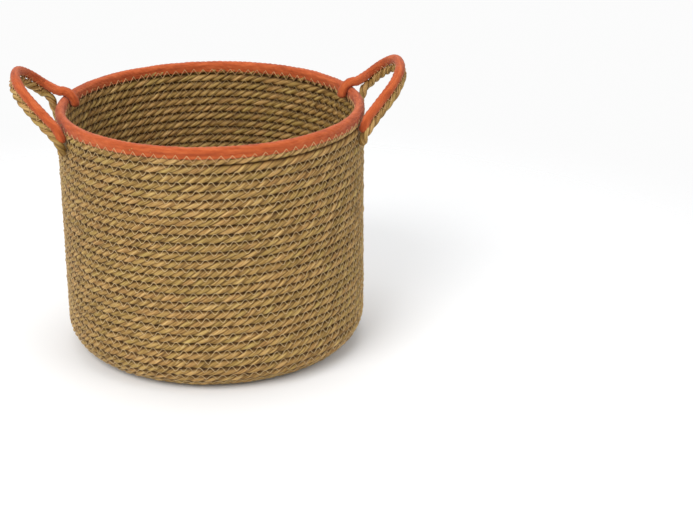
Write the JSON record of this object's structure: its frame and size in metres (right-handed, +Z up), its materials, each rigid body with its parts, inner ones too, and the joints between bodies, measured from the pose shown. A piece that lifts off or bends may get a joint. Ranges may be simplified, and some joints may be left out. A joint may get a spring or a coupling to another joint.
{
  "type": "laundry basket",
  "caption": "Round straight-sided basket of coiled, sewn rope with a fabric-bound rim and a hinged rope-loop handle on each side.",
  "frame": {"origin": "on the floor under the middle of the base", "axes": "+Z up, +X through the two handles, right-handed; the sewn-down plain front ends are towards -Y"},
  "size_m": [0.5234, 0.4026, 0.3779],
  "materials": {
    "rope": "twisted dry rush, matte with a slight straw sheen",
    "binding": "fine woven orange fabric, matte",
    "thread": "straw-coloured sewing thread"
  },
  "bodies": {
    "basket": {"base_coil": "rope", "corner_coil": "rope", "wall_coil": "rope", "wall_seam_outer": "thread", "wall_seam_inner": "thread", "corner_seam": "thread", "base_seam": "thread", "rim_rope": "rope", "rim_binding": "binding", "rim_seam": "thread", "left_bound_end_front": "binding", "left_bound_end_back": "binding", "left_plain_end_front": "rope", "left_plain_end_back": "rope", "right_bound_end_front": "binding", "right_bound_end_back": "binding", "right_plain_end_front": "rope", "right_plain_end_back": "rope"},
    "left_handle": {"left_handle_core": "rope", "left_handle_binding": "binding", "left_handle_plain_rope": "rope", "left_handle_seam_outer": "thread", "left_handle_seam_inner": "thread"},
    "right_handle": {"right_handle_core": "rope", "right_handle_binding": "binding", "right_handle_plain_rope": "rope", "right_handle_seam_outer": "thread", "right_handle_seam_inner": "thread"}
  },
  "joints": [
    {"name": "left_handle_hinge", "type": "hinge", "parent": "basket", "child": "left_handle", "pos_m": [-0.19266, 0, 0.31695], "axis": [0, 1, 0], "range_deg": [-50, 35], "stiffness_Nm_per_rad": 0.6},
    {"name": "right_handle_hinge", "type": "hinge", "parent": "basket", "child": "right_handle", "pos_m": [0.19266, 0, 0.31695], "axis": [0, -1, 0], "range_deg": [-50, 35], "stiffness_Nm_per_rad": 0.6}
  ]
}
